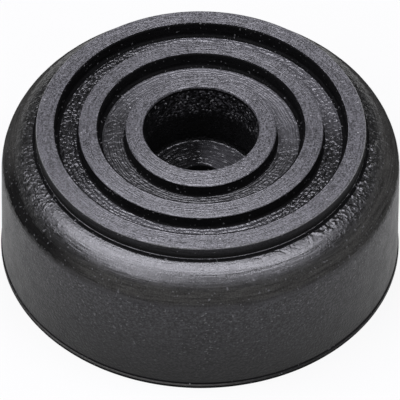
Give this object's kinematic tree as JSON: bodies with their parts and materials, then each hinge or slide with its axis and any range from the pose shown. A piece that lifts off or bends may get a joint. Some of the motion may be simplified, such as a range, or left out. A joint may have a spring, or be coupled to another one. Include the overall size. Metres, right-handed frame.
{
  "type": "rubber foot",
  "caption": "Round moulded rubber foot with a concentric-ring tread, a rounded shoulder and a deep recess over a central screw hole.",
  "frame": {"origin": "centre of the mounting face, on the axis of the screw hole", "axes": "+Z along the axis of the screw hole, from the mounting face towards the tread"},
  "size_m": [0.038, 0.038, 0.0158],
  "materials": {
    "rubber": "matte black moulded rubber with a fine grain"
  },
  "bodies": {
    "root": {"foot": "rubber"}
  },
  "joints": []
}
